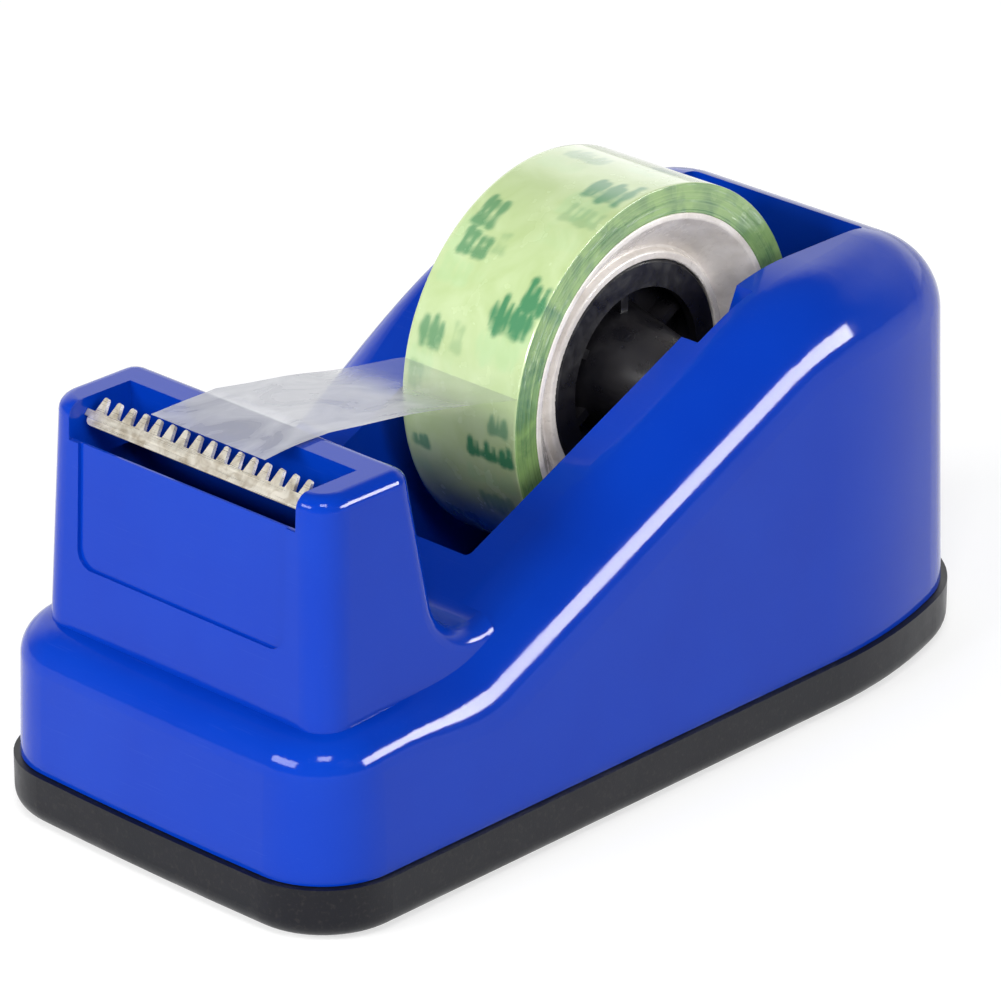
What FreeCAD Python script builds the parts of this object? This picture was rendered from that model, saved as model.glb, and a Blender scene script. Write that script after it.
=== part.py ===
"""Desk tape dispenser: a weighted plastic body, a cutting blade and a lift-out tape roll.

Millimetres.  +X is the right-hand side, -Y the front with the blade, +Z up.
The origin is on the table, in the middle of the object.
"""
import FreeCAD
import Part
import math
import os

Vector = FreeCAD.Vector

# ---------------------------------------------------------------- driving dimensions
tape_width = 18.0
roll_radius = 23.6
core_radius = 20.0
core_bore_radius = 13.2          # one-inch core
film_thickness = 0.2

shell_width = 54.8
shell_length = 118.2
shell_wall = 2.2
shell_draft_degrees = 1.7
seam_z = 7.0                     # joint line between the shell and the base
foot_proud = 0.5                 # how far the feet stand out of the base
base_overhang = 0.8              # how far the base stands out past the shell

ledge_z = 23.3                   # step on which the blade head stands
plateau_z = 52.4                 # top of the cheeks beside the roll
head_top_z = 50.6

axle_y = 13.9
axle_z = 40.8
axle_radius = 3.4
axle_length = 31.4
axle_chamfer = 0.5
slot_lean_degrees = 25.0         # the slots lean back, so a forward pull seats the axle
slot_depth = 2.5                 # into each cheek

well_half_width = 13.4
well_front_y = -21.9
well_rear_y = 45.1
well_floor_z = 14.0
well_corner_radius = 0.7
well_wall = 2.0

tooth_count = 16

# ---------------------------------------------------------------- derived values
front_y = -shell_length / 2
half_width = shell_width / 2
base_bottom_z = foot_proud
slot_lean = math.radians(slot_lean_degrees)
axle_centre = Vector(0, axle_y, axle_z)
beyond_side = 40.0               # in X, outside the whole object
above_all = 60.0                 # in Z, over the whole object


# ---------------------------------------------------------------- geometry helpers
def rounded_wire(points, radii, place):
    """Closed wire through a polygon's corners, each rounded by a tangent arc."""
    flat = [Vector(u, v, 0) for u, v in points]
    count = len(flat)
    corners = []
    for index, (corner, radius) in enumerate(zip(flat, radii)):
        to_previous = flat[index - 1] - corner
        to_next = flat[(index + 1) % count] - corner
        to_previous.normalize()
        to_next.normalize()
        angle = to_previous.getAngle(to_next)
        if radius <= 0 or abs(angle - math.pi) < 1e-6:
            corners.append((corner, None, corner))
            continue
        tangent_length = radius / math.tan(angle / 2)
        bisector = to_previous + to_next
        bisector.normalize()
        centre = corner + bisector * (radius / math.sin(angle / 2))
        corners.append((corner + to_previous * tangent_length,
                        centre - bisector * radius,
                        corner + to_next * tangent_length))
    edges = []
    for index, (start, middle, end) in enumerate(corners):
        if middle is not None:
            edges.append(Part.Arc(place(start), place(middle), place(end)).toShape())
        following = corners[(index + 1) % count][0]
        if (following - end).Length > 1e-5:
            edges.append(Part.LineSegment(place(end), place(following)).toShape())
    return Part.Wire(edges)


def inset_polygon(points, inset):
    """Counter-clockwise polygon with every side moved inwards."""
    count = len(points)
    sides = []
    for index in range(count):
        start = Vector(*points[index], 0)
        along = Vector(*points[(index + 1) % count], 0) - start
        along.normalize()
        sides.append((start + Vector(-along.y, along.x, 0) * inset, along))
    moved = []
    for index in range(count):
        start, along = sides[index - 1]
        other, across = sides[index]
        gap = other - start
        step = (gap.x * across.y - gap.y * across.x) / (along.x * across.y - along.y * across.x)
        corner = start + along * step
        moved.append((corner.x, corner.y))
    return moved


def side_extrusion(points, radii, x_low, x_high):
    """Solid whose outline is drawn from the side, in Y and Z."""
    wire = rounded_wire(points, radii, lambda p: Vector(x_low, p.x, p.y))
    return Part.Face(wire).extrude(Vector(x_high - x_low, 0, 0))


def turned(profile, radii=None):
    """Solid of revolution about the axle; the profile is (distance along X, radius)."""
    wire = rounded_wire(profile, radii or [0] * len(profile),
                        lambda p: Vector(p.x, axle_y, axle_z + p.y))
    return Part.Face(wire).revolve(axle_centre, Vector(1, 0, 0), 360)


def box(x_low, x_high, y_low, y_high, z_low, z_high):
    return Part.makeBox(x_high - x_low, y_high - y_low, z_high - z_low,
                        Vector(x_low, y_low, z_low))


def post(x, y, z_low, z_high, radius):
    return Part.makeCylinder(radius, z_high - z_low, Vector(x, y, z_low))


def fused(shapes):
    return shapes[0].multiFuse(shapes[1:]).removeSplitter()


def mirrored(shape):
    return shape.mirror(Vector(0, 0, 0), Vector(1, 0, 0))


def blended(shape, edge_radii):
    """Fillet a chain of edges whose radius changes from one end to the other."""
    document = FreeCAD.newDocument("blend")
    source = document.addObject("Part::Feature", "source")
    source.Shape = shape
    fillet = document.addObject("Part::Fillet", "fillet")
    fillet.Base = source
    fillet.Edges = edge_radii
    document.recompute()
    result = fillet.Shape.copy()
    FreeCAD.closeDocument(document.Name)
    return result


# ---------------------------------------------------------------- plan outline of the body
front_bow = 0.8                  # the front bulges forward by this much
front_radius = 600.0
front_corner_radius = 9.8
side_radius = 66.0               # long, gentle start of the rear taper
taper = math.radians(18.0)       # direction of the tapered side
rear_corner_radius = 16.8
rear_corner_inset = 6.46
rear_lean = math.radians(12.0)   # direction of each half of the rear, from square
rear_radius = 54.0

front_apex_y = front_y - front_radius * (math.hypot(half_width, front_bow) / half_width - 1)
rear_apex_y = shell_length / 2 + rear_radius * (1 / math.cos(rear_lean) - 1)
rear_corner_x = half_width - rear_corner_inset
rear_corner_y = rear_apex_y - rear_corner_x * math.tan(rear_lean)
taper_start_y = rear_corner_y - rear_corner_inset / math.tan(taper)
right_half = [(half_width, front_apex_y + front_bow, front_corner_radius),
              (half_width, taper_start_y, side_radius),
              (rear_corner_x, rear_corner_y, rear_corner_radius)]
plan_corners = ([(0, front_apex_y, front_radius)] + right_half + [(0, rear_apex_y, rear_radius)]
                + [(-x, y, radius) for x, y, radius in reversed(right_half)])


def plan_wire(inset, z):
    points = inset_polygon([(x, y) for x, y, _ in plan_corners], inset)
    radii = [radius - inset for _, _, radius in plan_corners]
    return rounded_wire(points, radii, lambda p: Vector(p.x, p.y, z))


def drafted_plan(inset, z_low, z_high):
    """The plan outline drawn upwards, leaning in by the moulding draft."""
    lean = math.tan(math.radians(shell_draft_degrees))
    return Part.makeLoft([plan_wire(inset + (z_low - seam_z) * lean, z_low),
                          plan_wire(inset + (z_high - seam_z) * lean, z_high)], True, True)


# ---------------------------------------------------------------- lower body of the housing
ledge_slope = 0.05
ramp_foot_y = front_y + 21.0
ramp_top_y = front_y + 82.7
tail_start_y = front_y + 106.0
tail_slope_degrees = 40.0
concave_radius = 40.0
convex_radius = 36.0
tail_radius = 14.0
ledge_edge_radius = 4.5
cheek_edge_radius = 9.5
rear_edge_radius = 9.0
ledge_edge_end_y = front_y + 18.0         # the top edge keeps the ledge's rounding up to here
cheek_edge_start_y = front_y + 62.0
cheek_edge_end_y = front_y + 92.0


def under_profile(inset, z_low):
    """Everything below the S-shaped top surface of the body, lowered by the inset."""
    over = 12.0                  # past the front and the rear
    rear_y = shell_length / 2 + over
    tail_drop = (rear_y - tail_start_y) * math.tan(math.radians(tail_slope_degrees))
    ledge_start_z = ledge_z - ledge_slope * over
    ramp_foot_z = ledge_z + ledge_slope * (ramp_foot_y - front_y)
    points = [(front_y - over, z_low),
              (front_y - over, ledge_start_z - inset),
              (ramp_foot_y, ramp_foot_z - inset),
              (ramp_top_y, plateau_z - inset),
              (tail_start_y, plateau_z - inset),
              (rear_y, plateau_z - tail_drop - inset),
              (rear_y, z_low)]
    radii = [0, 0, concave_radius + inset, convex_radius - inset, tail_radius - inset, 0, 0]
    return side_extrusion(points, radii, -beyond_side, beyond_side)


def edge_radius_at(y):
    """The rounding of the body's top edge grows from the ledge to the cheeks and the rear."""
    stations = [(front_y, ledge_edge_radius), (ledge_edge_end_y, ledge_edge_radius),
                (cheek_edge_start_y, cheek_edge_radius), (cheek_edge_end_y, cheek_edge_radius),
                (front_y + shell_length, rear_edge_radius)]
    for (y_low, r_low), (y_high, r_high) in zip(stations, stations[1:]):
        if y <= y_high:
            share = max(y - y_low, 0) / (y_high - y_low)
            return r_low + (r_high - r_low) * share
    return rear_edge_radius


def is_top_face(face, edge):
    middle = edge.valueAt((edge.FirstParameter + edge.LastParameter) / 2)
    normal = face.normalAt(*face.Surface.parameter(middle))
    return abs(normal.x) < 1e-3 and normal.z > 0.5


def lower_body(inset, z_low):
    block = drafted_plan(inset, z_low, above_all).common(under_profile(inset, z_low - 1))
    rounded = []
    for index, edge in enumerate(block.Edges, 1):
        faces = block.ancestorsOfType(edge, Part.Face)
        if len(faces) == 2 and is_top_face(faces[0], edge) != is_top_face(faces[1], edge):
            ends = [edge_radius_at(vertex.Point.y) - inset for vertex in edge.Vertexes]
            rounded.append((index, ends[0], ends[-1]))
    return blended(block, rounded)


# ---------------------------------------------------------------- blade head of the housing
head_foot_z = 20.0
head_foot = {"half_width": 23.2, "front": front_y + 4.8, "rear": front_y + 25.4}
head_top = {"half_width": 22.0, "front": front_y + 6.2, "rear": front_y + 19.9}
head_corner_radius = 4.0
head_top_edge_radius = 1.8
head_rear_edge_radius = 2.4
head_rear_cove = 6.2
head_rear_foot_z = ledge_z + 2.5          # where the rear wall meets the ramp


def head_section(size, inset, z):
    half = size["half_width"] - inset
    front = size["front"] + inset
    rear = size["rear"] - inset
    points = [(-half, front), (half, front), (half, rear), (-half, rear)]
    radius = head_corner_radius - inset / 2
    return rounded_wire(points, [radius] * 4, lambda p: Vector(p.x, p.y, z))


def head_hollow(inset):
    return Part.makeLoft([head_section(head_foot, inset, head_foot_z - inset),
                          head_section(head_top, inset, head_top_z - inset)], True, True)


def ramp_line_z(y):
    """Height of the straight stretch of the ramp, extended."""
    ramp_foot_z = ledge_z + ledge_slope * (ramp_foot_y - front_y)
    return ramp_foot_z + (y - ramp_foot_y) * (plateau_z - ramp_foot_z) / (ramp_top_y - ramp_foot_y)


def solid_head():
    """Tapered block whose rear wall runs out onto the ramp in a cove."""
    wall_slope = (head_top["rear"] - head_foot["rear"]) / (head_top_z - head_foot_z)
    corner_y = head_foot["rear"] + wall_slope * (head_rear_foot_z - head_foot_z)
    corner_z = ramp_line_z(corner_y)
    ramp_angle = math.atan(ramp_line_z(1) - ramp_line_z(0))
    opening = math.pi / 2 + math.atan(-wall_slope) - ramp_angle
    cove_end_y = corner_y + head_rear_cove / math.tan(opening / 2) * math.cos(ramp_angle)
    side_view = [(head_foot["front"], head_foot_z), (head_top["front"], head_top_z),
                 (corner_y + wall_slope * (head_top_z - corner_z), head_top_z),
                 (corner_y, corner_z), (cove_end_y, ramp_line_z(cove_end_y)),
                 (cove_end_y, head_foot_z)]
    head = side_extrusion(side_view, [0, 0, 0, head_rear_cove, 0, 0], -beyond_side, beyond_side)
    front_view = [Vector(-head_foot["half_width"], front_y, head_foot_z),
                  Vector(head_foot["half_width"], front_y, head_foot_z),
                  Vector(head_top["half_width"], front_y, head_top_z),
                  Vector(-head_top["half_width"], front_y, head_top_z)]
    face = Part.Face(Part.makePolygon(front_view + front_view[:1]))
    head = head.common(face.extrude(Vector(0, shell_length, 0)))

    def upright_edges(y_low, y_high):
        return [edge for edge in head.Edges
                if abs(edge.CenterOfMass.x) > head_top["half_width"] - 0.1
                and y_low < edge.CenterOfMass.y < y_high and edge.BoundBox.ZLength > 0.5]

    head = head.makeFillet(head_corner_radius, upright_edges(front_y, head_top["front"]))
    head = head.makeFillet(head_rear_edge_radius,
                           upright_edges(head_top["rear"], cove_end_y - 0.5))
    rim = [edge for edge in head.Edges if edge.BoundBox.ZMin > head_top_z - 0.01]
    return head.makeFillet(head_top_edge_radius, rim)


pocket_half_width = 17.9
pocket_rear_y = front_y + 15.4
pocket_skirt_z = 43.2            # lower edge of the walls round the pocket
pocket_sill_z = 46.3             # top edge of the front panel, under the blade
panel_half_width = 16.4
panel_foot_z = 31.6
panel_corner_radius = 2.2
panel_depth = 0.4
panel_wall = 1.6
sill_land = 0.3                  # flat top of the panel, before its inner side slopes down
before_front = front_y - 2.0


def head_front_y(z):
    """The head's front wall leans back as it rises."""
    share = (z - head_foot_z) / (head_top_z - head_foot_z)
    return head_foot["front"] + share * (head_top["front"] - head_foot["front"])


def front_panel():
    """Shallow recess in the front wall, parallel to it, with rounded lower corners."""
    side_view = [(before_front, panel_foot_z),
                 (head_front_y(panel_foot_z) + panel_depth, panel_foot_z),
                 (head_front_y(above_all) + panel_depth, above_all),
                 (before_front, above_all)]
    slab = side_extrusion(side_view, [0] * 4, -panel_half_width, panel_half_width)
    lower_corners = [edge for edge in slab.Edges
                     if edge.BoundBox.ZMax < panel_foot_z + 0.01 and edge.BoundBox.YLength > 1]
    return slab.makeFillet(panel_corner_radius, lower_corners)


def head_recesses():
    """Blade pocket, open at the front and into the hollow head, and the front panel."""
    sill_y = head_front_y(pocket_sill_z) + panel_depth + sill_land
    inner_y = sill_y + panel_wall
    open_z = pocket_skirt_z - 1
    pocket_side = [(before_front, pocket_sill_z), (sill_y, pocket_sill_z),
                   (inner_y, pocket_sill_z - panel_wall),
                   (inner_y, open_z), (pocket_rear_y, open_z),
                   (pocket_rear_y, above_all), (before_front, above_all)]
    pocket = side_extrusion(pocket_side, [0] * 7, -pocket_half_width, pocket_half_width)
    return fused([pocket, front_panel()])


# ---------------------------------------------------------------- axle slots
slot_half_width = axle_radius + 0.08
slot_length = 30.0               # runs out above the cheeks
slot_pad_wall = 2.0              # wall round each slot, inside the hollow body


def slot_shape(half_width_of_slot, x_low, x_high):
    """A slanted slot with a round seat at its lower end, open upwards."""
    up = Vector(0, math.sin(slot_lean), math.cos(slot_lean))
    across = Vector(0, math.cos(slot_lean), -math.sin(slot_lean))
    seat = Vector(x_low, axle_y, axle_z)
    left = seat - across * half_width_of_slot
    right = seat + across * half_width_of_slot
    bottom = seat - up * half_width_of_slot
    run = up * slot_length
    edges = [Part.Arc(left, bottom, right).toShape(),
             Part.LineSegment(right, right + run).toShape(),
             Part.LineSegment(right + run, left + run).toShape(),
             Part.LineSegment(left + run, left).toShape()]
    return Part.Face(Part.Wire(edges)).extrude(Vector(x_high - x_low, 0, 0))


# ---------------------------------------------------------------- fixings
front_boss_y = front_y + 9.5
rear_boss_y = 51.6
boss_places = [(-19.5, front_boss_y), (19.5, front_boss_y),
               (-9.0, rear_boss_y), (9.0, rear_boss_y)]
boss_radius = 3.2
boss_top_z = 18.0
pilot_radius = 1.5
screw_radius = 1.45
screw_length = 9.5
screw_head_radius = 2.8
screw_head_height = 1.9
screw_head_rounding = 0.9
screw_tip_chamfer = 0.8
drive_half_length = 1.5          # cross recess in the screw's head
drive_half_width = 0.3
drive_depth = 1.1
screw_seat_z = 3.6
clearance_radius = 1.7
counterbore_radius = 3.1

# ---------------------------------------------------------------- blade's plane
blade_sill = (front_y + 7.9, 47.9)        # lower edge of the blade, in Y and Z
blade_lean = math.radians(40.0)           # leaning back from upright
blade_thickness = 0.5
blade_band = 1.7
tooth_height = 1.85
tooth_overlap = 0.2                       # how far a tooth's root reaches into the band
teeth_half_width = 17.1
blade_end_gap = 0.55                      # between the band's ends and the pillars
blade_corner_radius = 0.8
tab_height = 0.8
blade_tab = 1.6                           # how far each end's tab sits in its pillar


def blade_plate(back_low, back_high, half, rise_low, rise_high):
    """A flat plate in the blade's leaning plane."""
    rise = Vector(0, math.sin(blade_lean), math.cos(blade_lean))
    back = Vector(0, math.cos(blade_lean), -math.sin(blade_lean))
    origin = Vector(-half, *blade_sill) + rise * rise_low + back * back_low
    wire = Part.makePolygon([origin,
                             origin + Vector(2 * half, 0, 0),
                             origin + Vector(2 * half, 0, 0) + rise * (rise_high - rise_low),
                             origin + rise * (rise_high - rise_low),
                             origin])
    return Part.Face(wire).extrude(back * (back_high - back_low))


def blade_slot():
    """Grooves in the two pillars that hold the tabs of the blade."""
    slack = 0.05
    half = pocket_half_width + blade_tab + slack
    return blade_plate(-slack, blade_thickness + slack, half,
                       blade_band - tab_height - slack, blade_band + slack)


# ---------------------------------------------------------------- housing
rib_places = [-8.0, 30.0]        # of the ribs in the cheeks, in Y
rib_half_thickness = 0.75
rib_foot_z = 26.0


def well_solid(grow, z_low):
    """The tape well, grown by a wall thickness where asked."""
    well = box(-well_half_width - grow, well_half_width + grow,
               well_front_y - grow, well_rear_y + grow, z_low, above_all)
    upright = [edge for edge in well.Edges if abs(edge.tangentAt(edge.FirstParameter).z) > 0.9]
    return well.makeFillet(well_corner_radius + grow / 2, upright)


def cheek_ribs():
    """Stiffening ribs that tie each cheek's outer skin to the wall of the well."""
    ribs = [box(well_half_width, half_width, y - rib_half_thickness, y + rib_half_thickness,
                rib_foot_z, above_all) for y in rib_places]
    return ribs + [mirrored(rib) for rib in ribs]


def walls_in_hollow():
    """What is left solid inside the body: well, pocket and panel walls, slot pads, ribs, bosses."""
    pocket_walls = box(-head_top["half_width"], head_top["half_width"], front_y,
                       pocket_rear_y + well_wall, pocket_skirt_z, above_all)
    panel_back_y = head_front_y(pocket_sill_z) + panel_depth + sill_land + panel_wall
    panel_back = box(-pocket_half_width, pocket_half_width, front_y, panel_back_y,
                     panel_foot_z - 1, above_all)
    pad = slot_shape(slot_half_width + slot_pad_wall, well_half_width,
                     well_half_width + slot_depth + 1.5)
    bosses = [post(x, y, seam_z + 0.2, above_all, boss_radius) for x, y in boss_places]
    return ([well_solid(well_wall, well_floor_z - well_wall), pocket_walls, panel_back,
             pad, mirrored(pad)] + cheek_ribs() + bosses)


def housing():
    outer = fused([lower_body(0, seam_z), solid_head()])
    hollow = fused([lower_body(shell_wall, seam_z - 1), head_hollow(shell_wall)])
    hollow = hollow.cut(walls_in_hollow())
    slot = slot_shape(slot_half_width, well_half_width - 1, well_half_width + slot_depth)
    pilots = [post(x, y, seam_z - 1, boss_top_z, pilot_radius) for x, y in boss_places]
    return outer.cut([hollow, well_solid(0, well_floor_z), head_recesses(),
                      slot, mirrored(slot), blade_slot()] + pilots)


# ---------------------------------------------------------------- base
tray_floor = 2.2
tray_wall = 2.4
tray_top_z = seam_z - 0.1
lip_height = 2.0                 # the lip stands inside the shell's lower edge
lip_wall = 1.2
lip_gap = 0.25
boss_socket_wall = 1.2           # round the foot of each boss
foot_places = [("front_left", -18.5, -35.0), ("front_right", 18.5, -35.0),
               ("rear_left", -17.5, 36.0), ("rear_right", 17.5, 36.0)]
foot_radius = 5.5
foot_recess = 1.0
foot_chamfer = 0.3
base_edge_radius = 2.4


def plan_block(inset, z_low, z_high):
    return Part.Face(plan_wire(inset, z_low)).extrude(Vector(0, 0, z_high - z_low))


def base_tray():
    tray = plan_block(-base_overhang, base_bottom_z, tray_top_z)
    bottom = [edge for edge in tray.Edges if edge.BoundBox.ZMax < base_bottom_z + 0.01]
    tray = tray.makeFillet(base_edge_radius, bottom)
    lip_inset = shell_wall + lip_gap
    lip = plan_block(lip_inset, tray_top_z - 0.5, tray_top_z + lip_height)
    floor_top = base_bottom_z + tray_floor
    inside = plan_block(lip_inset + lip_wall, floor_top, tray_top_z + lip_height + 1)
    within_lip = plan_block(lip_inset + 0.1, base_bottom_z, seam_z + 1)
    sockets = [post(x, y, base_bottom_z + 1, seam_z, boss_radius + boss_socket_wall)
               .common(within_lip) for x, y in boss_places]
    tray = fused([tray, lip]).cut(inside)
    tray = fused([tray] + sockets + ballast_fences(floor_top))
    cuts = []
    for x, y in boss_places:
        cuts.append(post(x, y, base_bottom_z - 1, seam_z + 3, clearance_radius))
        cuts.append(post(x, y, base_bottom_z - 1, screw_seat_z, counterbore_radius))
        cuts.append(post(x, y, seam_z, seam_z + 4, boss_radius + 0.3))
    for _, x, y in foot_places:
        cuts.append(post(x, y, base_bottom_z - 1, base_bottom_z + foot_recess, foot_radius + 0.1))
    return tray.cut(cuts)


def foot(x, y):
    pad = post(x, y, 0, base_bottom_z + foot_recess, foot_radius)
    rim = [edge for edge in pad.Edges if edge.BoundBox.ZMax < 0.01]
    return pad.makeChamfer(foot_chamfer, rim)


def base_screw(x, y):
    head = post(x, y, screw_seat_z - screw_head_height, screw_seat_z, screw_head_radius)
    rim = [edge for edge in head.Edges if edge.BoundBox.ZMax < screw_seat_z - 1]
    head = head.makeFillet(screw_head_rounding, rim)
    shank = post(x, y, screw_seat_z, screw_seat_z + screw_length, screw_radius)
    tip = [edge for edge in shank.Edges if edge.BoundBox.ZMin > screw_seat_z + 1
           and edge.BoundBox.ZLength < 0.01]
    shank = shank.makeChamfer(screw_tip_chamfer, tip)
    head_z = screw_seat_z - screw_head_height
    drive = [box(x - half_x, x + half_x, y - half_y, y + half_y, head_z - 1, head_z + drive_depth)
             for half_x, half_y in ((drive_half_length, drive_half_width),
                                    (drive_half_width, drive_half_length))]
    return fused([head, shank]).cut(drive)


# ---------------------------------------------------------------- ballast
ballast_gap = 0.3
plate_half_width = 13.0
plate_front_y = -19.0
plate_rear_y = 44.0
plate_top_z = 11.0
block_half_width = 20.5
block_front_y = front_y + 5.0
block_rear_y = -24.0
block_top_z = 19.5
fence_wall = 1.2
fence_height = 3.0
fence_half_length = 9.0
block_clearance = 1.6            # between the block and the bosses


def ballast_floor_z():
    return base_bottom_z + tray_floor + 0.1


def ballast_plate():
    plate = box(-plate_half_width, plate_half_width, plate_front_y, plate_rear_y,
                ballast_floor_z(), plate_top_z)
    upright = [edge for edge in plate.Edges if abs(edge.tangentAt(0).z) > 0.9]
    return plate.makeFillet(2.0, upright)


def ballast_block():
    """Cast block under the blade head, stepped around the two front bosses."""
    block = box(-block_half_width, block_half_width, block_front_y, block_rear_y,
                ballast_floor_z(), block_top_z)
    notches = []
    for x, y in boss_places[:2]:
        outwards = math.copysign(1, x)
        inner = x - outwards * (boss_radius + block_clearance)
        outer = outwards * (block_half_width + 1)
        notches.append(box(min(inner, outer), max(inner, outer), block_front_y - 1,
                           y + boss_radius + block_clearance, 0, above_all))
    block = block.cut(notches)
    upright = [edge for edge in block.Edges if abs(edge.tangentAt(0).z) > 0.9]
    return block.makeFillet(1.2, upright)


def ballast_fences(floor_top):
    """Low walls on the tray that keep the two ballast pieces from sliding."""
    foot_z = floor_top - 0.5
    top_z = floor_top + fence_height
    fences = []
    plate_middle = (plate_front_y + plate_rear_y) / 2
    block_middle = (block_front_y + block_rear_y) / 2 + 5.0
    for half_width_inside, middle in ((plate_half_width, plate_middle),
                                      (block_half_width, block_middle)):
        inner = half_width_inside + ballast_gap
        beside = box(inner, inner + fence_wall, middle - fence_half_length,
                     middle + fence_half_length, foot_z, top_z)
        fences += [beside, mirrored(beside)]
    between = (plate_front_y + block_rear_y) / 2
    fences.append(box(-fence_half_length, fence_half_length,
                      between - fence_wall / 2, between + fence_wall / 2, foot_z, top_z))
    return fences


# ---------------------------------------------------------------- blade
def blade():
    """Serrated steel strip: a band with rounded lower corners, two tabs, and round-ended teeth."""
    band = blade_plate(0, blade_thickness, pocket_half_width - blade_end_gap, 0, blade_band)
    rise = Vector(0, math.sin(blade_lean), math.cos(blade_lean))
    back = Vector(0, math.cos(blade_lean), -math.sin(blade_lean))
    foot = Vector(0, *blade_sill)
    lower_corners = [edge for edge in band.Edges if edge.BoundBox.XLength < 0.01
                     and abs((edge.CenterOfMass - foot).dot(rise)) < 0.01]
    band = band.makeFillet(blade_corner_radius, lower_corners)
    tabs = blade_plate(0, blade_thickness, pocket_half_width + blade_tab,
                       blade_band - tab_height, blade_band)
    pitch = 2 * teeth_half_width / tooth_count
    root = foot + rise * (blade_band - tooth_overlap)
    teeth = []
    for number in range(tooth_count):
        x = (number + 0.5) * pitch - teeth_half_width
        teeth.append(tooth(root + Vector(x, 0, 0), rise, back, pitch))
    return fused([band, tabs] + teeth)


def tooth(root, rise, back, pitch):
    """One tooth: wide at its root, narrowing to a round tip."""
    root_half = pitch * 0.34
    tip_half = pitch * 0.16
    height = tooth_height + tooth_overlap
    side = Vector(1, 0, 0)
    right_root = root + side * root_half
    left_root = root - side * root_half
    right_tip = root + side * tip_half + rise * (height - tip_half)
    left_tip = root - side * tip_half + rise * (height - tip_half)
    edges = [Part.LineSegment(left_root, right_root).toShape(),
             Part.LineSegment(right_root, right_tip).toShape(),
             Part.Arc(right_tip, root + rise * height, left_tip).toShape(),
             Part.LineSegment(left_tip, left_root).toShape()]
    return Part.Face(Part.Wire(edges)).extrude(back * blade_thickness)


# ---------------------------------------------------------------- roll, hub and axle
hub_radius = core_bore_radius - 0.1
hub_half_length = 5.9
lip_x = 6.0                      # face of the core's lip
lip_radius = 14.65
flange_radius = 13.62            # of each hub half, seated inside the lip
flange_seat_x = 5.0
flange_gap = 0.08
lip_rise = 0.9                   # of the lip above the dished face
lip_taper = 0.3
core_edge = 0.7                  # flat ring at the outer edge of the dish
hub_bore_radius = axle_radius + 0.05
hub_sleeve_end = well_half_width - 0.4
hub_sleeve_wall = 1.6
hub_sleeve_foot_radius = 7.6
hub_disc = 1.5                   # half thickness of the disc in the middle
hub_wall = 1.5
hub_rim = 1.2
hub_rim_inner_radius = 10.4
hub_edge_chamfer = 0.3
hub_rib_count = 6
hub_rib_half_thickness = 0.6
hub_rib_foot_radius = 6.2
spigot_radii = (9.0, 10.2)
spigot_reach = 0.9
seat_slack = 0.05


def hub_half():
    """Right-hand half of the hub: drum wall, rim, middle disc, tapered sleeve and ribs."""
    wall_inner = hub_radius - hub_wall
    rim_x = hub_half_length - hub_rim
    flange_x = flange_seat_x + seat_slack
    profile = [(0, hub_bore_radius), (hub_sleeve_end, hub_bore_radius),
               (hub_sleeve_end, hub_bore_radius + hub_sleeve_wall),
               (hub_disc, hub_sleeve_foot_radius), (hub_disc, wall_inner),
               (rim_x, wall_inner), (rim_x, hub_rim_inner_radius),
               (hub_half_length, hub_rim_inner_radius),
               (hub_half_length, flange_radius - hub_edge_chamfer),
               (hub_half_length - hub_edge_chamfer, flange_radius),
               (flange_x, flange_radius), (flange_x, hub_radius), (0, hub_radius)]
    ribs = []
    for number in range(hub_rib_count):
        rib = box(hub_disc - 0.1, rim_x - 0.8,
                  axle_y - hub_rib_half_thickness, axle_y + hub_rib_half_thickness,
                  axle_z + hub_rib_foot_radius, axle_z + wall_inner + 0.2)
        rib.rotate(axle_centre, Vector(1, 0, 0), number * 360 / hub_rib_count)
        ribs.append(rib)
    return fused([turned(profile)] + ribs)


def hub_spigot(slack=0.0):
    """Ring on one hub half that centres it in the groove of the other."""
    inner, outer = spigot_radii
    return turned([(-spigot_reach - 2 * slack, inner - slack), (0.1, inner - slack),
                   (0.1, outer + slack), (-spigot_reach - 2 * slack, outer + slack)])


def tape_core():
    """Moulded core: a dished face, a raised lip and a seat for the hub's flange on each side."""
    face = tape_width / 2
    dish_x = lip_x - lip_rise
    bore = flange_radius + flange_gap
    right = [(face, core_radius), (face, core_radius - core_edge),
             (dish_x, lip_radius + 2 * lip_taper), (dish_x, lip_radius + lip_taper),
             (lip_x, lip_radius), (lip_x, bore), (flange_seat_x, bore),
             (flange_seat_x, core_bore_radius)]
    left = [(-x, radius) for x, radius in reversed(right)]
    rounding = [0.15, 0.3, 0.1, 0.1, 0.35, 0.2, 0, 0]
    return turned(right + left, rounding + rounding[::-1])


def tape_windings():
    face = tape_width / 2
    return turned([(-face, core_radius), (face, core_radius),
                   (face, roll_radius), (-face, roll_radius)], [0, 0, 0.15, 0.15])


def axle_pin():
    pin = Part.makeCylinder(axle_radius, axle_length, axle_centre - Vector(axle_length / 2, 0, 0),
                            Vector(1, 0, 0))
    return pin.makeChamfer(axle_chamfer, [edge for edge in pin.Edges
                                          if edge.BoundBox.XLength < 0.01])


# ---------------------------------------------------------------- free end of the tape
peel_angle = math.radians(168.5)          # where the strip leaves the roll, from +Y
peel_gap = 0.35
strip_over_head = 0.15
strip_over_teeth = 0.25
head_rest = 1.6                  # length of strip lying on the rear edge of the head


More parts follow.
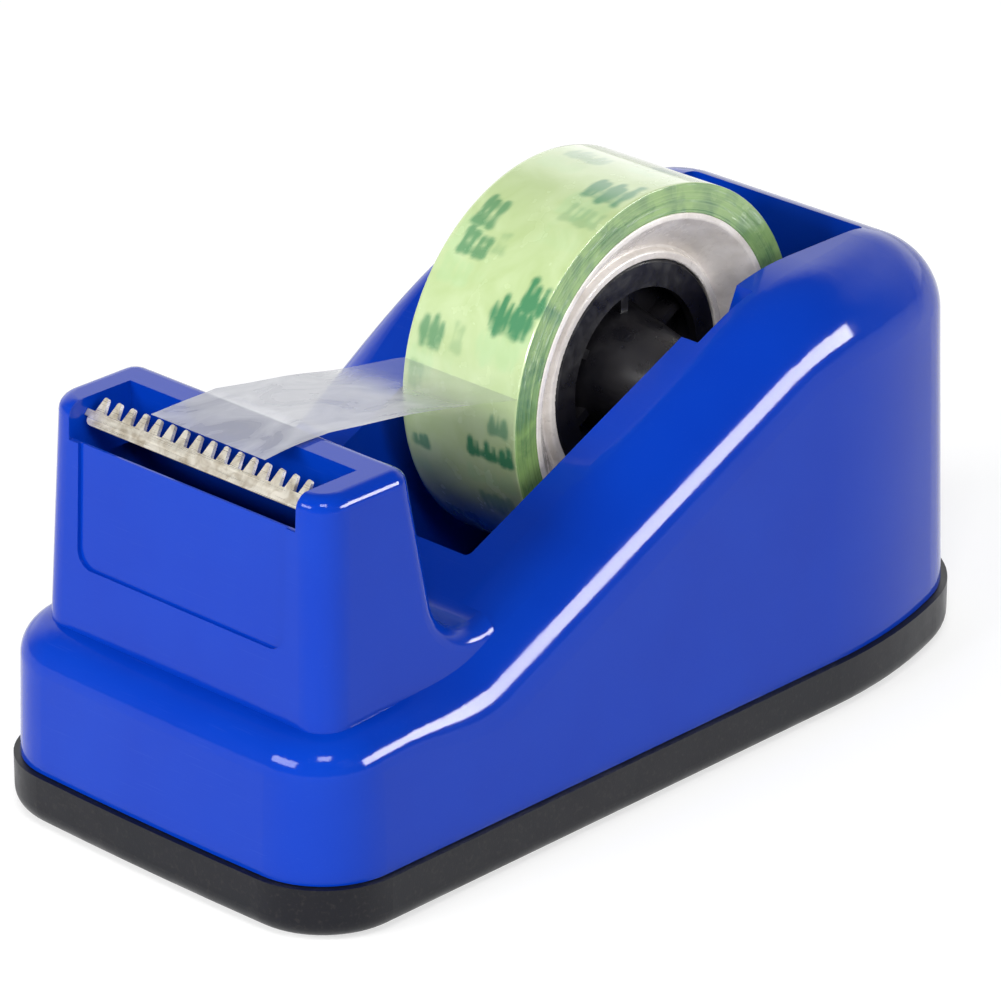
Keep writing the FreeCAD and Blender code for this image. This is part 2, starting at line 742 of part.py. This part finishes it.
def tape_strip():
    """Film from the roll, over the rear edge of the head, to the tips of the teeth."""
    reach = roll_radius + peel_gap
    start = (axle_y + reach * math.cos(peel_angle), axle_z + reach * math.sin(peel_angle))
    edge = (head_top["rear"] + 0.3, head_top_z + strip_over_head)
    rise = blade_band + tooth_height
    tip = (blade_sill[0] + rise * math.sin(blade_lean) + film_thickness,
           blade_sill[1] + rise * math.cos(blade_lean) + strip_over_teeth)
    route = [start, edge, (edge[0] - head_rest, edge[1] + 0.05), tip]
    outline = route + [(y, z + film_thickness) for y, z in reversed(route)]
    return side_extrusion(outline, [0] * len(outline), -tape_width / 2, tape_width / 2)


# ---------------------------------------------------------------- output
def build():
    right_hub = hub_half()
    left_hub = mirrored(right_hub)
    nodes = {
        "housing": housing(),
        "base_tray": base_tray(),
        "ballast_plate": ballast_plate(),
        "ballast_block": ballast_block(),
        "base_screws": Part.makeCompound([base_screw(x, y) for x, y in boss_places]),
        "blade": blade(),
        "hub_right_half": fused([right_hub, hub_spigot()]),
        "hub_left_half": left_hub.cut(hub_spigot(seat_slack)),
        "axle_pin": axle_pin(),
        "tape_core": tape_core(),
        "tape_windings": tape_windings(),
        "tape_strip": tape_strip(),
    }
    for name, x, y in foot_places:
        nodes["foot_" + name] = foot(x, y)
    return nodes


os.makedirs("parts", exist_ok=True)
for node_name, node_shape in build().items():
    node_shape.exportStep("parts/" + node_name + ".step")
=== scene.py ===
"""Looks, light and camera for the desk tape dispenser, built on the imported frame.

Lengths are in metres.  The tape's pieces take their sizes from the frame, apart from the edge
of the head that the strip bends over, which is a named value here.
"""
import math
import random

import bpy
import numpy as np
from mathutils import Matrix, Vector, noise


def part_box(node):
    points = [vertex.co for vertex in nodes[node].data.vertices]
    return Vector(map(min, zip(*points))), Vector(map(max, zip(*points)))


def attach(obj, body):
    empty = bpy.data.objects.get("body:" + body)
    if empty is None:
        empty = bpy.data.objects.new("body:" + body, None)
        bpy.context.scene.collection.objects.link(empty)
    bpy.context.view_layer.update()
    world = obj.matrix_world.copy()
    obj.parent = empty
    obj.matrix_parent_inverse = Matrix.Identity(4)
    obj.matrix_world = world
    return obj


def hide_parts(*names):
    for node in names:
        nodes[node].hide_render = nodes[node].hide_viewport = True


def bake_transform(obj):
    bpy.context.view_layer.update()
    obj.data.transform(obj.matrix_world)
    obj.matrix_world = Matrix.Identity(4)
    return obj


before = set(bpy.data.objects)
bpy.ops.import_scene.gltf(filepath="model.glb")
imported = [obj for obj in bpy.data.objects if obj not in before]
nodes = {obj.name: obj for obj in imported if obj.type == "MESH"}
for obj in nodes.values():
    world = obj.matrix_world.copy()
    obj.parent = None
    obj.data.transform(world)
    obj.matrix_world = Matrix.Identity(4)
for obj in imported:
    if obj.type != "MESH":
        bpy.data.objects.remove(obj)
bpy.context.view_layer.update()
mm = 0.001

# ---------------------------------------------------------------- places read from the frame
roll_low, roll_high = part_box("tape_windings")
core_low, core_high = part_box("tape_core")
blade_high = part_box("blade")[1]
axle_y = (roll_low.y + roll_high.y) / 2
axle_z = (roll_low.z + roll_high.z) / 2
roll_radius = (roll_high.z - roll_low.z) / 2
core_radius = (core_high.z - core_low.z) / 2
half_tape = (roll_high.x - roll_low.x) / 2

# ---------------------------------------------------------------- driving values of the tape
peel_angle = math.radians(168.5)     # where the strip leaves the roll, from +Y towards +Z
head_edge_y = -39.0 * mm             # where the strip bends over the rear edge of the head
head_edge_z = 50.85 * mm
film_layers = 18                     # layers modelled on each side of the winding
layer_jitter = 0.10 * mm             # how unevenly the layers' edges line up
layer_groove = 0.05 * mm             # depth of the groove between two layers
layer_foot, layer_crest = 0.04, 0.55  # where a layer's two rings lie in its thickness
rim_inset = 0.12 * mm                # how far the outer turn stops short of the roll's faces
ripple_depth = 0.04 * mm             # unevenness of the outer turn
turn_steps = 480
width_steps = 60
fold_lift = 0.16 * mm                # small and broad waves of the free strip
wave_lift = 0.35 * mm
side_lift = 0.45 * mm                # of the strip's right-hand edge
waist = 0.012                        # how much a pulled strip narrows in the middle


# ---------------------------------------------------------------- material helpers
class Finish:
    """A Principled material, with short calls that add nodes and join them."""

    def __init__(self, name, **settings):
        self.material = bpy.data.materials.new(name)
        self.material.use_nodes = True
        self.nodes = self.material.node_tree.nodes
        self.links = self.material.node_tree.links
        self.shader = self.nodes["Principled BSDF"]
        for socket, value in settings.items():
            self.shader.inputs[socket.replace("_", " ")].default_value = value
        self.place = self.nodes.new("ShaderNodeTexCoord").outputs["Object"]

    def feed(self, socket, value):
        """Joins value to a socket, or sets the socket if value is plain."""
        if isinstance(value, bpy.types.NodeSocket):
            self.links.new(value, socket)
        else:
            socket.default_value = value

    def drive(self, name, value):
        self.feed(self.shader.inputs[name], value)

    def noise(self, size, detail=3.0, stretch=(1, 1, 1), distortion=0.0, source=None):
        """Noise whose patches are about size metres across, longer where stretch is over 1."""
        mapping = self.nodes.new("ShaderNodeMapping")
        mapping.inputs["Scale"].default_value = [1 / factor for factor in stretch]
        self.feed(mapping.inputs["Vector"], source or self.place)
        texture = self.nodes.new("ShaderNodeTexNoise")
        texture.inputs["Scale"].default_value = 1 / size
        texture.inputs["Detail"].default_value = detail
        texture.inputs["Distortion"].default_value = distortion
        self.links.new(mapping.outputs["Vector"], texture.inputs["Vector"])
        return texture.outputs["Fac"]

    def attribute(self, name):
        reader = self.nodes.new("ShaderNodeAttribute")
        reader.attribute_name = name
        return reader.outputs["Fac"]

    def spread(self, value, low, high, start=0.3, end=0.7):
        """value between start and end, mapped to low and high."""
        mapped = self.nodes.new("ShaderNodeMapRange")
        self.feed(mapped.inputs["Value"], value)
        mapped.inputs["From Min"].default_value = start
        mapped.inputs["From Max"].default_value = end
        mapped.inputs["To Min"].default_value = low
        mapped.inputs["To Max"].default_value = high
        return mapped.outputs["Result"]

    def math(self, operation, first, second=0.0):
        step = self.nodes.new("ShaderNodeMath")
        step.operation = operation
        self.feed(step.inputs[0], first)
        self.feed(step.inputs[1], second)
        return step.outputs["Value"]

    def blend(self, factor, first, second):
        """Colour between first and second."""
        mixed = self.nodes.new("ShaderNodeMix")
        mixed.data_type = "RGBA"
        self.feed(mixed.inputs["Factor"], factor)
        self.feed(mixed.inputs["A"], colour(first))
        self.feed(mixed.inputs["B"], colour(second))
        return mixed.outputs["Result"]

    def bump(self, height, depth, after=None):
        """Bump of that depth in metres, on top of an earlier bump."""
        node = self.nodes.new("ShaderNodeBump")
        node.inputs["Distance"].default_value = depth
        self.feed(node.inputs["Height"], height)
        if after is not None:
            self.links.new(after, node.inputs["Normal"])
        self.feed(self.shader.inputs["Normal"], node.outputs["Normal"])
        return node.outputs["Normal"]

    def scratches(self, length, turn):
        """Sparse thin marks, about length metres long, at that angle about X, Y and Z."""
        mapping = self.nodes.new("ShaderNodeMapping")
        mapping.inputs["Rotation"].default_value = turn
        mapping.inputs["Scale"].default_value = (1, 40, 40)
        self.links.new(self.place, mapping.inputs["Vector"])
        texture = self.nodes.new("ShaderNodeTexNoise")
        texture.inputs["Scale"].default_value = 1 / length
        texture.inputs["Detail"].default_value = 2.0
        self.links.new(mapping.outputs["Vector"], texture.inputs["Vector"])
        return self.spread(texture.outputs["Fac"], 0, 1, 0.66, 0.74)


def colour(value):
    """Three numbers get an alpha; a socket stays as it is."""
    if isinstance(value, bpy.types.NodeSocket):
        return value
    return (*value, 1.0)


def dress(node, finish):
    """Gives every material slot of a CAD node that finish."""
    mesh = nodes[node].data
    mesh.materials.clear()
    mesh.materials.append(finish.material)


# ---------------------------------------------------------------- materials
def blue_plastic():
    """Glossy moulded ABS: faint orange peel, fine scratches and patches dulled by handling."""
    finish = Finish("blue_plastic", Specular_IOR_Level=0.18, IOR=1.5)
    tint = finish.spread(finish.noise(14 * mm, 2), 0, 1)
    pigment = finish.blend(tint, (0.0006, 0.030, 0.345), (0.0008, 0.034, 0.365))
    marks = finish.math("MAXIMUM", finish.scratches(9 * mm, (0.3, 0.5, 0.9)),
                        finish.scratches(6 * mm, (1.2, 0.2, 2.4)))
    finish.drive("Base Color", finish.blend(finish.math("MULTIPLY", marks, 0.10), pigment,
                                            (0.04, 0.09, 0.44)))
    haze = finish.spread(finish.noise(7 * mm, 5, distortion=0.4), 0.07, 0.11)
    finish.drive("Roughness", finish.math("ADD", haze, finish.math("MULTIPLY", marks, 0.10)))
    peel = finish.bump(finish.noise(1.6 * mm, 1), 0.004 * mm)
    finish.bump(finish.noise(0.25 * mm, 2), 0.0006 * mm, peel)
    return finish


def charcoal_plastic():
    """Satin base moulding with a fine spark-eroded grain and specks of dust."""
    finish = Finish("charcoal_plastic", Specular_IOR_Level=0.22)
    shade = finish.spread(finish.noise(10 * mm, 4), 0, 1)
    dust = finish.spread(finish.noise(0.5 * mm, 3), 0, 1, 0.55, 0.75)
    body = finish.blend(shade, (0.003, 0.004, 0.007), (0.006, 0.006, 0.009))
    finish.drive("Base Color", finish.blend(finish.math("MULTIPLY", dust, 0.25), body,
                                            (0.045, 0.040, 0.036)))
    finish.drive("Roughness", finish.spread(finish.noise(3 * mm, 4), 0.30, 0.44))
    finish.bump(finish.noise(0.18 * mm, 2), 0.008 * mm)
    return finish


def black_plastic():
    """Hub and axle: black moulding, slightly mottled, with a worn sheen."""
    finish = Finish("black_plastic", Specular_IOR_Level=0.5)
    shade = finish.spread(finish.noise(4 * mm, 4), 0, 1)
    finish.drive("Base Color", finish.blend(shade, (0.006, 0.006, 0.009), (0.014, 0.013, 0.015)))
    finish.drive("Roughness", finish.spread(finish.noise(2 * mm, 4), 0.24, 0.42))
    finish.bump(finish.noise(0.4 * mm, 3), 0.008 * mm)
    return finish


def core_plastic():
    """Pale recycled moulding with uneven grey flow streaks."""
    finish = Finish("core_plastic", Specular_IOR_Level=0.5)
    streaks = finish.spread(finish.noise(5.5 * mm, 4, (1, 1.4, 1), 1.0), 0, 1, 0.35, 0.68)
    specks = finish.spread(finish.noise(0.6 * mm, 3), 0, 1, 0.62, 0.74)
    body = finish.blend(streaks, (0.86, 0.81, 0.76), (0.66, 0.61, 0.56))
    finish.drive("Base Color", finish.blend(finish.math("MULTIPLY", specks, 0.35), body,
                                            (0.36, 0.32, 0.29)))
    finish.drive("Roughness", finish.spread(finish.noise(1.5 * mm, 3), 0.16, 0.34))
    finish.bump(finish.noise(1.4 * mm, 3), 0.03 * mm)
    return finish


def wound_film():
    """Many clear layers seen together: yellow-green, with the print of the outer layers showing."""
    finish = Finish("wound_film", Coat_Weight=0.8, Coat_Roughness=0.05, Specular_IOR_Level=0.5)
    print_mark = finish.attribute("print")
    faint_mark = finish.attribute("under_print")
    side = finish.attribute("side")
    mottle = finish.spread(finish.noise(5 * mm, 3, distortion=0.6), 0, 1)
    face = finish.blend(mottle, (0.40, 0.51, 0.24), (0.48, 0.59, 0.32))
    face = finish.blend(finish.math("MULTIPLY", faint_mark, 0.22), face, (0.26, 0.52, 0.26))
    face = finish.blend(print_mark, face, (0.015, 0.18, 0.075))
    depth = finish.attribute("depth")
    rings = finish.nodes.new("ShaderNodeCombineXYZ")
    finish.feed(rings.inputs["X"], depth)
    fine = finish.noise(0.05, 2, source=rings.outputs["Vector"])
    patches = finish.spread(finish.noise(4 * mm, 3, distortion=0.8), 0, 1, 0.42, 0.62)
    edge = finish.blend(patches, (0.21, 0.37, 0.105), (0.07, 0.19, 0.06))
    edge = finish.blend(finish.spread(fine, 0, 0.5), edge, (0.37, 0.51, 0.22))
    edge = finish.blend(finish.math("MULTIPLY", print_mark, 0.6), edge, (0.03, 0.18, 0.08))
    finish.drive("Base Color", finish.blend(side, face, edge))
    finish.drive("Roughness", finish.spread(finish.noise(3 * mm, 3), 0.16, 0.30))
    ripples = finish.bump(finish.noise(6 * mm, 2, (3, 1, 1)), 0.03 * mm)
    finish.bump(finish.noise(0.8 * mm, 2), 0.002 * mm, ripples)
    return finish


def single_film():
    """One layer of clear film: a grey haze, made denser by a painted highlight along its sides, over
    the head's edge and on raised folds, and clearer next to the roll.
    """
    finish = Finish("single_film", Specular_IOR_Level=0.35)
    smear = finish.spread(finish.noise(4.5 * mm, 4, (1, 2.0, 1), 1.2), 0, 1, 0.35, 0.65)
    # painted highlight: the film's sides, its bend over the head and its fold crests are made denser,
    # so paler, on top of the random smear
    cloud_and_sheen = finish.math("ADD", finish.math("MULTIPLY", smear, 0.25), finish.attribute("painted_sheen"))
    finish.drive("Base Color", finish.blend(smear, (0.29, 0.30, 0.35), (0.50, 0.51, 0.55)))
    haze = finish.spread(cloud_and_sheen, 0.88, 0.99, 0, 1)
    finish.drive("Alpha", finish.math("MULTIPLY", haze, finish.attribute("free")))
    finish.drive("Roughness", finish.spread(smear, 0.24, 0.40, 0, 1))
    finish.bump(finish.noise(3 * mm, 2, (1, 3, 1), 0.5), 0.04 * mm)
    return finish


def blade_steel():
    """Plated strip: fine rolling lines along its length and warm patches of tarnish."""
    finish = Finish("blade_steel", Metallic=0.8)
    lines = finish.noise(0.12 * mm, 3, (60, 1, 1))
    tarnish = finish.spread(finish.noise(1.4 * mm, 4, distortion=0.5), 0, 1, 0.40, 0.68)
    finish.drive("Base Color", finish.blend(tarnish, (0.90, 0.85, 0.74), (0.56, 0.49, 0.38)))
    finish.drive("Roughness", finish.spread(lines, 0.24, 0.42))
    finish.bump(lines, 0.004 * mm)
    return finish


def screw_steel():
    """Plain zinc-grey steel, unevenly worn."""
    finish = Finish("screw_steel", Metallic=1.0)
    finish.drive("Base Color", finish.blend(finish.spread(finish.noise(1 * mm, 4), 0, 1),
                                            (0.58, 0.58, 0.60), (0.42, 0.42, 0.42)))
    finish.drive("Roughness", finish.spread(finish.noise(0.5 * mm, 4), 0.22, 0.42))
    finish.bump(finish.noise(0.15 * mm, 3), 0.004 * mm)
    return finish


def ballast_iron():
    """Rough cast iron with a thin rust bloom."""
    finish = Finish("ballast_iron", Metallic=0.7)
    rust = finish.spread(finish.noise(3 * mm, 5), 0, 1, 0.50, 0.70)
    finish.drive("Base Color", finish.blend(rust, (0.16, 0.16, 0.17), (0.22, 0.10, 0.05)))
    finish.drive("Roughness", finish.spread(finish.noise(0.8 * mm, 4), 0.50, 0.80))
    finish.bump(finish.noise(0.6 * mm, 5), 0.06 * mm)
    return finish


def foot_rubber():
    """Soft pad: matt, pitted, with pale scuffs from the desk."""
    finish = Finish("foot_rubber", Specular_IOR_Level=0.3)
    scuffs = finish.spread(finish.noise(1.2 * mm, 5), 0, 1, 0.55, 0.72)
    finish.drive("Base Color", finish.blend(scuffs, (0.016, 0.016, 0.017), (0.060, 0.058, 0.055)))
    finish.drive("Roughness", finish.spread(finish.noise(0.6 * mm, 3), 0.70, 0.92))
    finish.bump(finish.noise(0.2 * mm, 3), 0.02 * mm)
    return finish


finishes = {
    "housing": blue_plastic(),
    "base_tray": charcoal_plastic(),
    "blade": blade_steel(),
    "tape_core": core_plastic(),
    "base_screws": screw_steel(),
}
black = black_plastic()
for name in ("hub_right_half", "hub_left_half", "axle_pin"):
    finishes[name] = black
iron = ballast_iron()
for name in ("ballast_plate", "ballast_block"):
    finishes[name] = iron
rubber = foot_rubber()
for name in ("foot_front_left", "foot_front_right", "foot_rear_left", "foot_rear_right"):
    finishes[name] = rubber
for name, finish in finishes.items():
    dress(name, finish)


# ---------------------------------------------------------------- mesh helpers
def mesh_object(name, points, faces, finish):
    mesh = bpy.data.meshes.new(name)
    mesh.from_pydata(points, [], faces)
    mesh.materials.append(finish.material)
    mesh.polygons.foreach_set("use_smooth", [True] * len(faces))
    made = bpy.data.objects.new(name, mesh)
    bpy.context.scene.collection.objects.link(made)
    return made


def give(mesh, name, values):
    """Stores one number for each vertex."""
    attribute = mesh.attributes.new(name, "FLOAT", "POINT")
    attribute.data.foreach_set("value", np.asarray(values, dtype=np.float32))


def smooth_step(low, high, value):
    part = np.clip((value - low) / (high - low), 0, 1)
    return part * part * (3 - 2 * part)


# ---------------------------------------------------------------- wound tape
def seen_marks():
    """Printed marks that face the front.

    Each is an angle from +Y in degrees, a place across the tape, a length along it and a width
    across it in mm, and the strength of the ink.
    """
    return [
        (120, -6.0, 4.6, 3.4, 0.80), (131, -4.8, 3.0, 4.6, 0.80), (112, 5.4, 2.4, 5.4, 0.32),
        (140, 7.0, 4.6, 3.6, 1.00), (147, 4.9, 5.2, 6.4, 1.00), (159, -5.6, 3.6, 3.6, 0.80),
        (172, -7.0, 3.0, 2.4, 0.35), (128, -1.4, 3.4, 1.2, 0.35), (158, -1.8, 3.2, 1.4, 0.30),
        (187, 4.9, 1.8, 7.4, 1.00), (178, 6.2, 2.6, 2.6, 0.70), (192, -6.4, 1.6, 2.4, 0.80),
    ]


def all_marks():
    """The marks at the front, and the same kind of mark on the rest of the turn."""
    chance = random.Random(7)
    marks = seen_marks()
    unseen_start, unseen_end = 206, 460
    angle = unseen_start
    side = 1
    while angle < unseen_end:
        across = side * chance.uniform(3.4, 6.0)
        marks.append((angle, across, chance.uniform(2.8, 5.2), chance.uniform(3.4, 6.4),
                      chance.uniform(0.5, 0.95)))
        angle += chance.uniform(12, 17)
        side = -side
    return marks


def bar_cluster(along, across, length, width, seed):
    """Bunch of round-ended bars side by side on a short foot, with a soft, bled outline."""
    usual_pitch = 1.15
    soft = 0.35
    chance = random.Random(seed)
    count = max(3, round(width / usual_pitch))
    pitch = width / count
    bleed = 0.16 * np.sin(along * 1.9 + seed) + 0.16 * np.sin(across * 2.3 + 2 * seed)
    foot = np.hypot(np.maximum(np.abs(across) - width * 0.42, 0),
                    np.maximum(np.abs(along - length * 0.30) - length * 0.14, 0))
    ink = smooth_step(soft + 0.3, -0.1, foot + bleed)
    for number in range(count):
        centre = (number + 0.5) * pitch - width / 2 + chance.uniform(-0.15, 0.15)
        top = -length * chance.uniform(0.15, 0.5)
        bottom = length * chance.uniform(0.30, 0.46)
        middle = (top + bottom) / 2
        away = np.hypot(across - centre, np.maximum(np.abs(along - middle) - (bottom - top) / 2, 0))
        radius = pitch * chance.uniform(0.30, 0.52)
        ink = np.maximum(ink, smooth_step(radius + soft, radius - 0.25, away + bleed))
    return ink


def printed(angles, across, shift=0.0):
    """How much print covers each point of the outer layer."""
    ink = np.zeros(len(angles))
    for seed, (angle, place, length, width, strength) in enumerate(all_marks()):
        turn = (angles - angle - shift + 180) % 360 - 180
        along = np.radians(turn) * roll_radius / mm
        near = np.abs(along) < length
        group = bar_cluster(along[near], across[near] - place, length, width, seed)
        ink[near] = np.maximum(ink[near], group * strength)
    return ink


def winding_profile():
    """Section from the right side's core edge, over the top, to the left side's core edge.

    Each point is its x, its radius, its layer (None on the outer turn), and whether it is the
    crest of that layer.
    """
    thickness = (roll_radius - core_radius) / film_layers
    right = []
    for layer in range(film_layers):
        start = core_radius + layer * thickness
        right.append((half_tape, start + layer_foot * thickness, layer, False))
        right.append((half_tape, start + layer_crest * thickness, layer, True))
    top_x = half_tape - rim_inset
    top = [(top_x * (1 - 2 * step / width_steps), roll_radius, None, True)
           for step in range(width_steps + 1)]
    left = [(-x, radius, layer, crest) for x, radius, layer, crest in reversed(right)]
    return right + top + left


def uneven(x, radius, layer, crest, y, z):
    """The x and radius of a profile point, moved in a little, where the turn points to (y, z)."""
    if layer is None:
        ripple = noise.noise(Vector((y * 3, z * 3, x / (9 * mm))))
        return x, radius - ripple_depth * (0.5 + 0.5 * ripple)
    other_side = 5 if x < 0 else 0
    wander = noise.noise(Vector((y * 1.5, z * 1.5, layer * 3.7 + other_side)))
    inset = layer_jitter * (0.5 + 0.5 * wander) + (0 if crest else layer_groove)
    return math.copysign(abs(x) - inset, x), radius


def wound_tape():
    """The wound film: an uneven stack of layers on each side and a taut outer turn."""
    profile = winding_profile()
    points = []
    side = []
    depth = []
    for step in range(turn_steps):
        turn = 2 * math.pi * step / turn_steps
        y, z = math.cos(turn), math.sin(turn)
        for profile_x, profile_radius, layer, crest in profile:
            x, radius = uneven(profile_x, profile_radius, layer, crest, y, z)
            points.append((x, axle_y + radius * y, axle_z + radius * z))
            side.append(0.0 if layer is None else 1.0)
            depth.append((roll_radius - radius) / (roll_radius - core_radius))
    count = len(profile)
    faces = []
    for step in range(turn_steps):
        here = step * count
        there = (step + 1) % turn_steps * count
        for index in range(count):
            following = (index + 1) % count
            faces.append((here + index, here + following, there + following, there + index))
    ring = mesh_object("tape_roll", points, faces, wound_film())
    places = np.array(points)
    angles = np.degrees(np.arctan2(places[:, 2] - axle_z, places[:, 1] - axle_y)) % 360
    across = places[:, 0] / mm
    give(ring.data, "side", side)
    give(ring.data, "depth", depth)
    give(ring.data, "print", printed(angles, across) * 0.9)
    give(ring.data, "under_print", printed(angles, across * 0.97 + 0.6, 9.0))
    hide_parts("tape_windings")
    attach(ring, "roll")


# ---------------------------------------------------------------- free end of the tape
def strip_route():
    """The strip's line in the side view, as (y, z): roll, rear edge of the head, tips of the teeth."""
    reach = roll_radius + 0.05 * mm
    start = (axle_y + reach * math.cos(peel_angle), axle_z + reach * math.sin(peel_angle))
    tip = (blade_high.y - 0.35 * mm, blade_high.z + 0.12 * mm)
    return [start, (head_edge_y, head_edge_z), tip]


def between(first, second, part):
    """The point that lies that part of the way from first to second."""
    return [a + (b - a) * part for a, b in zip(first, second)]


def painted_sheen_at(place, past_edge, fold):
    """Painted highlight, as denser film: most along both sides, over the head's edge and on raised
    folds.
    """
    border = smooth_step(0.93, 1.0, abs(place))
    bend = math.exp(-(past_edge / (1.2 * mm)) ** 2)
    return min(1.0, 0.55 * border + 0.6 * bend + 0.5 * max(0.0, fold) ** 2)


def free_at(run, past_edge):
    """How much of the film shows: little beside the roll, and a bit less over the head."""
    leaving_roll = smooth_step(5 * mm, 16 * mm, run)
    over_head = smooth_step(-1 * mm, 2 * mm, past_edge)
    return 0.25 + 0.75 * leaving_roll - 0.16 * over_head


def tape_end():
    """Clear film pulled from the roll: shallow waves, a sharp bend over the head, its right edge
    lifted, and a painted highlight on its sides, folds and bend.
    """
    start, middle, tip = strip_route()
    first = math.dist(start, middle)
    second = math.dist(middle, tip)
    length = first + second
    along_steps, across_steps = 140, 60
    points = []
    painted_sheen = []
    shown = []
    for row in range(along_steps + 1):
        run = length * row / along_steps
        if run <= first:
            part = run / first
            y, z = between(start, middle, part)
            free = math.sin(math.pi * part)
        else:
            part = (run - first) / second
            y, z = between(middle, tip, part)
            free = 0.35 * math.sin(math.pi * part)
        for column in range(across_steps + 1):
            place = 2 * column / across_steps - 1
            x = place * half_tape * (1 - waist * math.sin(math.pi * row / along_steps))
            fold = noise.noise(Vector((x / (4.5 * mm), run / (12 * mm), 4.0)))
            wave = noise.noise(Vector((x / (9 * mm), run / (16 * mm), 9.0)))
            lift = fold_lift * fold + wave_lift * wave + side_lift * max(0.0, place) ** 2
            points.append((x, y, z + free * lift))
            # painted highlight along the sides, over the head's edge and on raised folds
            painted_sheen.append(painted_sheen_at(place, run - first, fold))
            shown.append(free_at(run, run - first))
    faces = []
    width = across_steps + 1
    for row in range(along_steps):
        for column in range(across_steps):
            corner = row * width + column
            faces.append((corner, corner + 1, corner + width + 1, corner + width))
    strip = mesh_object("tape_free_end", points, faces, single_film())
    give(strip.data, "painted_sheen", painted_sheen)
    give(strip.data, "free", shown)
    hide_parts("tape_strip")
    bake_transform(strip)


wound_tape()
tape_end()


# ---------------------------------------------------------------- floor, light and camera
def floor():
    """Wide pale table, lit a little from within, so that shadows on it stay faint."""
    finish = Finish("floor_paint", Roughness=0.9, Specular_IOR_Level=0.1, Emission_Strength=0.62,
                    Emission_Color=(1.0, 1.0, 1.0, 1.0))
    finish.drive("Base Color", finish.blend(finish.noise(30 * mm, 3), (0.42, 0.42, 0.42),
                                            (0.44, 0.44, 0.44)))
    half = 6.0
    corners = [(-half, -half, 0), (half, -half, 0), (half, half, 0), (-half, half, 0)]
    plane = mesh_object("floor", corners, [(0, 1, 2, 3)], finish)


def direction(azimuth, elevation):
    """Unit vector; azimuth 0 is in front, along -Y, and 90 is the +X side."""
    turn, rise = math.radians(azimuth), math.radians(elevation)
    return Vector((math.sin(turn) * math.cos(rise), -math.cos(turn) * math.cos(rise), math.sin(rise)))


aim = Vector((0, 0, 0.03))           # what every light faces
room_level = 0.34                    # brightness of the room, and what the screen adds to it
screen_level = 1.3


def softbox(name, azimuth, elevation, distance, width, height, radiance,
            diffuse=True, glossy=True):
    """Rectangular soft light facing the object, with that radiance over its face."""
    light = bpy.data.lights.new(name, "AREA")
    light.shape = "RECTANGLE"
    light.size = width
    light.size_y = height
    light.energy = radiance * width * height * math.pi
    lamp = bpy.data.objects.new(name, light)
    lamp.location = aim + direction(azimuth, elevation) * distance
    lamp.rotation_euler = (aim - lamp.location).to_track_quat("-Z", "Y").to_euler()
    lamp.visible_diffuse = diffuse
    lamp.visible_glossy = glossy
    bpy.context.scene.collection.objects.link(lamp)


def surroundings():
    """A dim room with a bright screen low behind the left rear corner."""
    world = bpy.data.worlds.new("studio")
    world.use_nodes = True
    bpy.context.scene.world = world
    world_nodes, links = world.node_tree.nodes, world.node_tree.links
    place = world_nodes.new("ShaderNodeTexCoord").outputs["Generated"]

    def facing(towards, low, high, value_low, value_high):
        """value_high where the direction is nearest to towards."""
        product = world_nodes.new("ShaderNodeVectorMath")
        product.operation = "DOT_PRODUCT"
        links.new(place, product.inputs[0])
        product.inputs[1].default_value = towards
        mapped = world_nodes.new("ShaderNodeMapRange")
        mapped.interpolation_type = "SMOOTHSTEP"
        links.new(product.outputs["Value"], mapped.inputs["Value"])
        for name, value in (("From Min", low), ("From Max", high),
                            ("To Min", value_low), ("To Max", value_high)):
            mapped.inputs[name].default_value = value
        return mapped.outputs["Result"]

    def combine(operation, first, second):
        step = world_nodes.new("ShaderNodeMath")
        step.operation = operation
        links.new(first, step.inputs[0])
        links.new(second, step.inputs[1])
        return step.outputs["Value"]

    below_top = facing((0, 0, 1), 0.50, 0.76, 1.0, 0.0)
    behind_left = facing(direction(-142, 15), 0.4, 0.85, 0.0, 1.0)
    screen = combine("MULTIPLY", below_top, behind_left)
    room = facing((0, 0, 1), 0.0, 0.8, room_level, room_level * 0.5)
    bright = world_nodes.new("ShaderNodeMath")
    bright.operation = "MULTIPLY_ADD"
    links.new(screen, bright.inputs[0])
    bright.inputs[1].default_value = screen_level
    links.new(room, bright.inputs[2])
    world_nodes["Background"].inputs["Color"].default_value = (1.0, 1.0, 1.0, 1.0)
    links.new(bright.outputs["Value"], world_nodes["Background"].inputs["Strength"])


def lights():
    """A small key over the camera, fills in front and beside, and a lamp for the cheek's highlight."""
    softbox("key", azimuth=44, elevation=47, distance=1.1, width=0.28, height=0.28, radiance=21.0)
    softbox("front_fill", azimuth=-10, elevation=24, distance=1.4, width=0.80, height=0.36,
            radiance=18.5)
    softbox("side_fill", azimuth=75, elevation=25, distance=1.4, width=0.50, height=0.50,
            radiance=10.0, glossy=False)
    softbox("edge_streak", azimuth=118, elevation=17, distance=1.1, width=0.80, height=0.30,
            radiance=40.0, diffuse=False)


def camera():
    """Long lens, above the front right corner, on a 36 mm sensor."""
    lens = bpy.data.cameras.new("camera")
    lens.lens = 223.6
    lens.sensor_width = 36
    lens.clip_start = 0.01
    lens.clip_end = 20
    view = bpy.data.objects.new("camera", lens)
    view.location = (0.4537, -0.4750, 0.3225)
    view.rotation_euler = (math.radians(65.8), 0, math.radians(43.85))
    bpy.context.scene.collection.objects.link(view)
    bpy.context.scene.camera = view


floor()
surroundings()
lights()
camera()
bpy.context.scene.view_settings.view_transform = "Standard"
